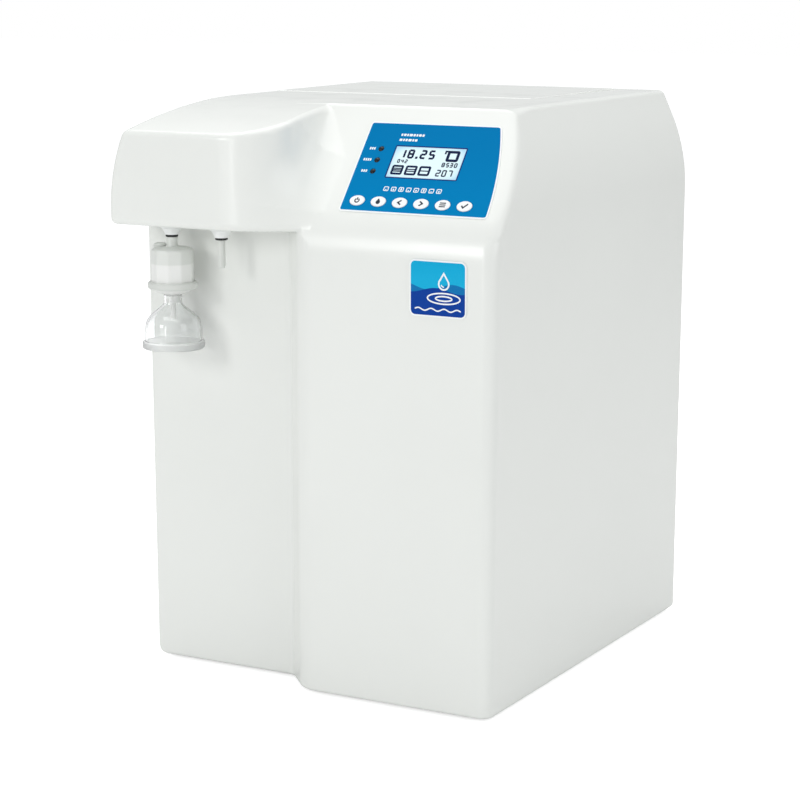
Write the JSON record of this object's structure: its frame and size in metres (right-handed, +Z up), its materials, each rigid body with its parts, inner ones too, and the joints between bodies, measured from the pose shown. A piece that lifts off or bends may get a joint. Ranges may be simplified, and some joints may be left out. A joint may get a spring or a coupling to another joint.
{
  "type": "ultrapure water system",
  "caption": "Benchtop water purifier: moulded cabinet with an overhanging dispensing head, terminal filter with filling bell, sloped key panel with display, service lid and rear ports.",
  "frame": {"origin": "on the bench under the middle of the object's outer box, at the underside of the feet", "axes": "+X to the right seen from the front, +Y to the back, +Z up"},
  "size_m": [0.36, 0.4554, 0.5062],
  "materials": {
    "cabinet_plastic": "glossy off-white moulding",
    "panel_print": "blue printed overlay with a thin white outline",
    "key_plastic": "white membrane keys",
    "display_glass": "clear display window",
    "display_module": "pale blue display",
    "circuit_board": "green circuit board",
    "indicator_plastic": "dark indicator lenses",
    "badge_print": null,
    "painted_sheet": "light grey powder coat",
    "sheet_steel": "zinc-plated sheet",
    "fastener_steel": "bright zinc",
    "foot_rubber": "black rubber",
    "seal_rubber": "black seal rubber",
    "port_plastic": "white acetal",
    "nut_plastic": "black nylon",
    "black_plastic": "black moulding",
    "collar_plastic": "pale grey moulding",
    "frosted_plastic": "frosted translucent polypropylene",
    "clear_plastic": "clear polycarbonate",
    "membrane_fabric": "pleated membrane",
    "cartridge_plastic": "white polypropylene",
    "motor_paint": "black paint",
    "supply_aluminium": "folded aluminium case",
    "valve_plastic": "white nylon body with a potted coil",
    "tube_plastic": "white polyethylene tube"
  },
  "bodies": {
    "cabinet": {"housing_shell": "cabinet_plastic", "lid_hinge_brackets": "sheet_steel", "lid_seat_frame": "sheet_steel", "lid_gasket": "seal_rubber", "rear_panel": "painted_sheet", "cabinet_screws": "fastener_steel", "base_tray": "sheet_steel", "rubber_feet": "foot_rubber", "rear_ports": "port_plastic", "port_nuts": "nut_plastic", "power_inlet": "black_plastic", "switch_frame": "black_plastic", "panel_overlay": "panel_print", "panel_backplate": "cartridge_plastic", "lcd_window": "display_glass", "lcd_module": "display_module", "display_board": "circuit_board", "board_standoffs": "nut_plastic", "indicator_lights": "indicator_plastic", "badge_plate": "badge_print", "outlet_collars": "collar_plastic", "outlet_orings": "seal_rubber", "outlet_spigot": "frosted_plastic", "dispense_nozzle": "frosted_plastic", "cartridge_rack": "sheet_steel", "booster_pump_motor": "motor_paint", "booster_pump_head": "black_plastic", "pump_cradle": "sheet_steel", "circulation_pump": "motor_paint", "inlet_valve": "valve_plastic", "flush_valve": "valve_plastic", "dispense_valves": "valve_plastic", "pressure_switches": "black_plastic", "conductivity_cells": "valve_plastic", "power_supply": "supply_aluminium", "main_board": "circuit_board", "feed_tube": "tube_plastic", "prefilter_tubes": "tube_plastic", "pump_tubes": "tube_plastic", "product_tubes": "tube_plastic", "dispense_tubes": "tube_plastic", "sediment_cartridge": "cartridge_plastic", "carbon_block_cartridge": "cartridge_plastic", "carbon_granule_cartridge": "cartridge_plastic", "membrane_housing": "cartridge_plastic", "deioniser_cartridge_1": "cartridge_plastic", "deioniser_cartridge_2": "cartridge_plastic"},
    "lid": {"top_lid": "cabinet_plastic"},
    "rocker": {"power_rocker": "black_plastic"},
    "terminal_filter": {"filter_capsule": "frosted_plastic", "filter_core": "membrane_fabric", "filter_clamp_ring": "frosted_plastic"},
    "bell": {"filling_bell": "clear_plastic"},
    "vent_plug": {"vent_cap": "cartridge_plastic"},
    "key_1": {"panel_key_1": "key_plastic"},
    "key_2": {"panel_key_2": "key_plastic"},
    "key_3": {"panel_key_3": "key_plastic"},
    "key_4": {"panel_key_4": "key_plastic"},
    "key_5": {"panel_key_5": "key_plastic"},
    "key_6": {"panel_key_6": "key_plastic"}
  },
  "joints": [
    {"name": "lid_hinge", "type": "hinge", "parent": "cabinet", "child": "lid", "pos_m": [0, 0.1915, 0.5025], "axis": [-1, 0, 0], "range_deg": [0, 80]},
    {"name": "rocker_tilt", "type": "hinge", "parent": "cabinet", "child": "rocker", "pos_m": [-0.06, 0.1985, 0.06], "axis": [0, 0, -1], "range_deg": [0, 16]},
    {"name": "filter_pull", "type": "slide", "parent": "cabinet", "child": "terminal_filter", "axis": [0, 0, -1], "range_m": [0, 0.03]},
    {"name": "bell_pull", "type": "slide", "parent": "terminal_filter", "child": "bell", "axis": [0, 0, -1], "range_m": [0, 0.015]},
    {"name": "vent_turn", "type": "hinge", "parent": "terminal_filter", "child": "vent_plug", "pos_m": [-0.1455, -0.2005, 0.384], "axis": [0, 0, 1], "range_deg": [0, 180]},
    {"name": "key_1_press", "type": "slide", "parent": "cabinet", "child": "key_1", "axis": [0, 0.766, -0.6428], "range_m": [0, 0.0008], "stiffness_N_per_m": 2000},
    {"name": "key_2_press", "type": "slide", "parent": "cabinet", "child": "key_2", "axis": [0, 0.766, -0.6428], "range_m": [0, 0.0008], "stiffness_N_per_m": 2000},
    {"name": "key_3_press", "type": "slide", "parent": "cabinet", "child": "key_3", "axis": [0, 0.766, -0.6428], "range_m": [0, 0.0008], "stiffness_N_per_m": 2000},
    {"name": "key_4_press", "type": "slide", "parent": "cabinet", "child": "key_4", "axis": [0, 0.766, -0.6428], "range_m": [0, 0.0008], "stiffness_N_per_m": 2000},
    {"name": "key_5_press", "type": "slide", "parent": "cabinet", "child": "key_5", "axis": [0, 0.766, -0.6428], "range_m": [0, 0.0008], "stiffness_N_per_m": 2000},
    {"name": "key_6_press", "type": "slide", "parent": "cabinet", "child": "key_6", "axis": [0, 0.766, -0.6428], "range_m": [0, 0.0008], "stiffness_N_per_m": 2000}
  ]
}
